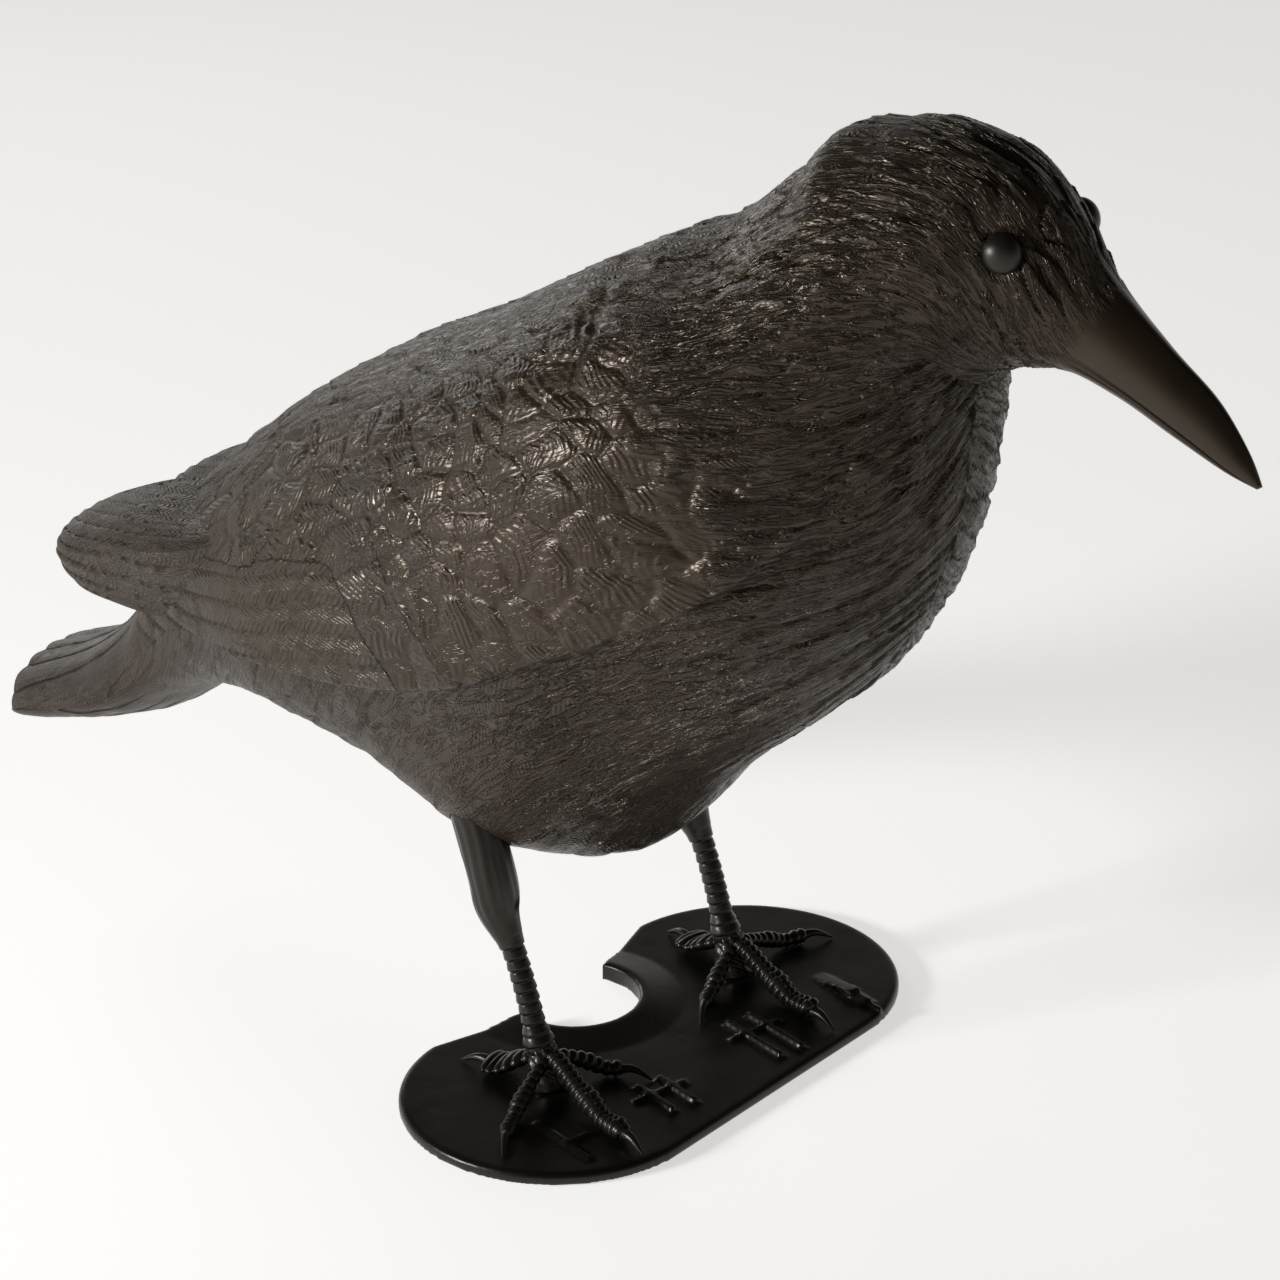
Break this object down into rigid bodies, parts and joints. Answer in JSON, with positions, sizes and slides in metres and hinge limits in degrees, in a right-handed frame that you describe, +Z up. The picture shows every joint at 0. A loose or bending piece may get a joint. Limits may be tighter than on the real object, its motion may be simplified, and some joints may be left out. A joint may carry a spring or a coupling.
{
  "type": "static crow decoy on a base plate",
  "caption": "Hollow moulded crow decoy with folded wings, two plug-in legs with cast feet, and an oval base plate with a notch in its back edge.",
  "frame": {"origin": "centre of the base plate's underside", "axes": "+X the way the beak points, +Y the bird's left, +Z up"},
  "size_m": [0.3857, 0.158, 0.2646],
  "materials": {
    "body_plastic": "satin, moulded feather texture",
    "leg_plastic": "semi-gloss",
    "eye_plastic": "gloss"
  },
  "bodies": {
    "base": {"base_plate": "leg_plastic"},
    "right_leg": {"leg_right": "leg_plastic"},
    "left_leg": {"leg_left": "leg_plastic"},
    "bird": {"body_shell": "body_plastic", "eye_right": "eye_plastic", "eye_left": "eye_plastic"}
  },
  "joints": [
    {"name": "right_foot_pull", "type": "slide", "parent": "base", "child": "right_leg", "axis": [0, 0, 1], "range_m": [0, 0.012]},
    {"name": "left_foot_pull", "type": "slide", "parent": "base", "child": "left_leg", "axis": [0, 0, 1], "range_m": [0, 0.012]},
    {"name": "body_pull", "type": "slide", "parent": "right_leg", "child": "bird", "axis": [-0.3256, 0, 0.9455], "range_m": [0, 0.04]}
  ],
  "couplings": [
    {"joint": "left_foot_pull", "follows": "right_foot_pull", "ratio": 1}
  ]
}
